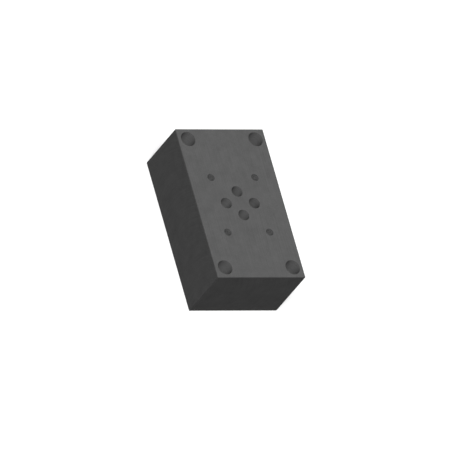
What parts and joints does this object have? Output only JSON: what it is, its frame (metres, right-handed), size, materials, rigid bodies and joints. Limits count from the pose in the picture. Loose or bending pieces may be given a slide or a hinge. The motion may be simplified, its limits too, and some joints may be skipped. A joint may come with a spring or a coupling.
{
  "type": "hydraulic valve subplate",
  "caption": "Rectangular drilled block that carries a directional valve on its top face and leads the valve's ports to pipe threads in its underside.",
  "frame": {"origin": "centre of the underside", "axes": "+Z out of the valve face, +Y along the length from port A towards port B, +X across the width on the port P side"},
  "size_m": [0.065, 0.11, 0.043],
  "materials": {
    "phosphated_iron": "machined all over and phosphated dark grey"
  },
  "bodies": {
    "root": {"subplate_block": "phosphated_iron"}
  },
  "joints": []
}
